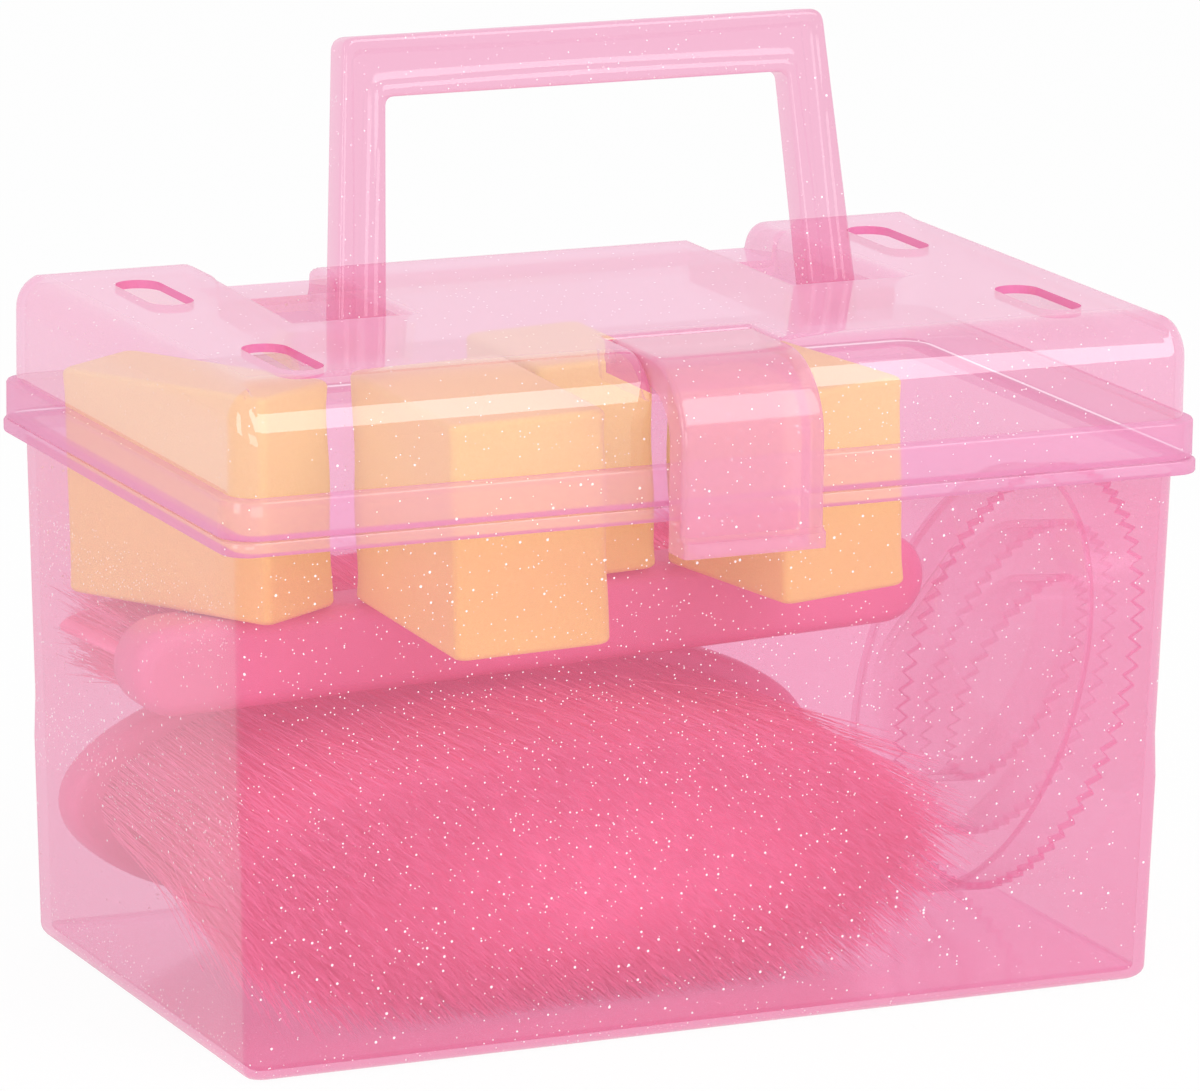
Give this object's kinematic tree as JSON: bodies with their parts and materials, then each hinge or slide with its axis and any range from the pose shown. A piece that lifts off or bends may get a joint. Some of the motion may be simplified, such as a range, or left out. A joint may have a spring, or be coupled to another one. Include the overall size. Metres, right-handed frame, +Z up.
{
  "type": "grooming box",
  "caption": "See-through plastic grooming box for a horse, with a hinged lid, folding carry handle and front clasp, packed with sponges, brushes and a curry comb.",
  "frame": {"origin": "middle of the tub's underside", "axes": "+Z up, +X to the right seen from the front, +Y to the back where the lid's hinge is"},
  "size_m": [0.2428, 0.1723, 0.223],
  "materials": {
    "tub_plastic": "gloss",
    "lid_plastic": "gloss",
    "handle_plastic": "gloss",
    "clasp_plastic": "gloss",
    "foam": "matte",
    "brush_back": "satin",
    "bristle": "matte",
    "comb_plastic": "gloss"
  },
  "bodies": {
    "box": {"tub": "tub_plastic", "sponge_left": "foam", "sponge_front": "foam", "sponge_right": "foam", "sponge_rear": "foam", "dandy_brush_back": "brush_back", "dandy_brush_bristles": "bristle", "body_brush_back": "brush_back", "body_brush_bristles": "bristle", "curry_comb": "comb_plastic", "curry_comb_strap": "comb_plastic"},
    "lid": {"lid": "lid_plastic"},
    "handle": {"handle": "handle_plastic"},
    "clasp": {"clasp": "clasp_plastic"}
  },
  "joints": [
    {"name": "lid_hinge", "type": "hinge", "parent": "box", "child": "lid", "pos_m": [0, 0.0796, 0.1264], "axis": [-1, 0, 0], "range_deg": [0, 105]},
    {"name": "handle_fold", "type": "hinge", "parent": "lid", "child": "handle", "pos_m": [0, 0.001, 0.154], "axis": [-1, 0, 0], "range_deg": [-9, 77]},
    {"name": "clasp_hinge", "type": "hinge", "parent": "lid", "child": "clasp", "pos_m": [0, -0.049, 0.15622], "axis": [-1, 0, 0], "range_deg": [0, 90]}
  ]
}
